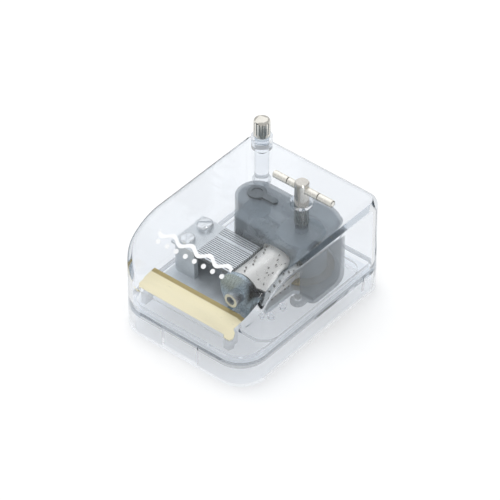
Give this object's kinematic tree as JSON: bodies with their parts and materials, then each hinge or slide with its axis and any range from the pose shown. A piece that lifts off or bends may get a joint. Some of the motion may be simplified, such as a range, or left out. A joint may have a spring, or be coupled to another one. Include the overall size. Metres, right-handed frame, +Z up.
{
  "type": "wind-up music box",
  "caption": "Clear domed plastic case showing a wind-up movement: pinned cylinder, steel comb, spring barrel and air-brake governor, with a T-shaped winding key and a stop knob.",
  "frame": {"origin": "bottom centre of the case's rim, on the table", "axes": "+X to the right along the front, +Y to the back, +Z up; the domed front faces -Y"},
  "size_m": [0.054, 0.0694, 0.0493],
  "materials": {
    "clear_plastic": "clear gloss",
    "smoke_plastic": "translucent gloss",
    "gold_plate": "satin",
    "zinc": "satin zinc plating",
    "screw_steel": "bright zinc plating",
    "comb_steel": "ground",
    "lead": "matte",
    "bearing_plate": "gloss",
    "nickel": "polished nickel",
    "cylinder_brass": "nickel-plated satin",
    "steel": "turned",
    "brass": "satin",
    "spring_steel": "blued",
    "white_plastic": "satin",
    "black_plastic": "satin",
    "felt": "felt"
  },
  "bodies": {
    "case": {"base_tray": "clear_plastic", "case_cover": "clear_plastic", "label_holder": "clear_plastic", "name_plate": "gold_plate", "movement_frame": "zinc", "comb": "comb_steel", "comb_weights": "lead", "comb_screws": "screw_steel", "front_bearing": "bearing_plate", "bearing_bush": "nickel", "one_way_clutch": "spring_steel", "idler_stud": "steel", "fly_top_cap": "black_plastic", "train_bracket": "zinc", "mechanism_housing": "smoke_plastic"},
    "cylinder": {"pin_cylinder": "cylinder_brass", "cylinder_ends": "brass", "cylinder_arbor": "steel", "cylinder_gear": "white_plastic"},
    "barrel": {"great_wheel": "brass", "spring_barrel": "zinc", "barrel_lid": "zinc", "mainspring": "spring_steel"},
    "key": {"key_hub": "nickel", "key_bar": "nickel", "winding_arbor": "steel"},
    "idler": {"idler_wheel": "white_plastic"},
    "governor": {"governor_pinion": "brass", "worm_wheel": "white_plastic", "governor_arbor": "steel"},
    "fly": {"worm": "steel", "fan": "black_plastic"},
    "stop": {"stop_shaft": "clear_plastic", "stop_knob": "nickel", "stop_arm": "black_plastic", "brake_pad": "felt"}
  },
  "joints": [
    {"name": "cylinder_turn", "type": "hinge", "parent": "case", "child": "cylinder", "pos_m": [0.0088, 0, 0.019], "axis": [0, -1, 0], "continuous": true},
    {"name": "barrel_turn", "type": "hinge", "parent": "case", "child": "barrel", "pos_m": [0.0088, 0.0153, 0.02], "axis": [0, 0, 1], "continuous": true},
    {"name": "idler_turn", "type": "hinge", "parent": "case", "child": "idler", "pos_m": [-0.00105, 0.0063, 0.01726], "axis": [0, -1, 0], "continuous": true},
    {"name": "governor_turn", "type": "hinge", "parent": "case", "child": "governor", "pos_m": [-0.00604, 0.0172, 0.01521], "axis": [0, -1, 0], "continuous": true},
    {"name": "fly_turn", "type": "hinge", "parent": "case", "child": "fly", "pos_m": [-0.01124, 0.0172, 0.01521], "axis": [0, 0, 1], "continuous": true},
    {"name": "key_turn", "type": "hinge", "parent": "case", "child": "key", "pos_m": [0.0088, 0.0153, 0.0434], "axis": [0, 0, -1], "range_deg": [0, 1170]},
    {"name": "stop_slide", "type": "slide", "parent": "case", "child": "stop", "axis": [0, 0, 1], "range_m": [0, 0.003]}
  ],
  "couplings": [
    {"joint": "barrel_turn", "follows": "cylinder_turn", "ratio": 0.68889},
    {"joint": "idler_turn", "follows": "cylinder_turn", "ratio": -1.6316},
    {"joint": "governor_turn", "follows": "cylinder_turn", "ratio": 3.875},
    {"joint": "fly_turn", "follows": "cylinder_turn", "ratio": 69.75}
  ]
}
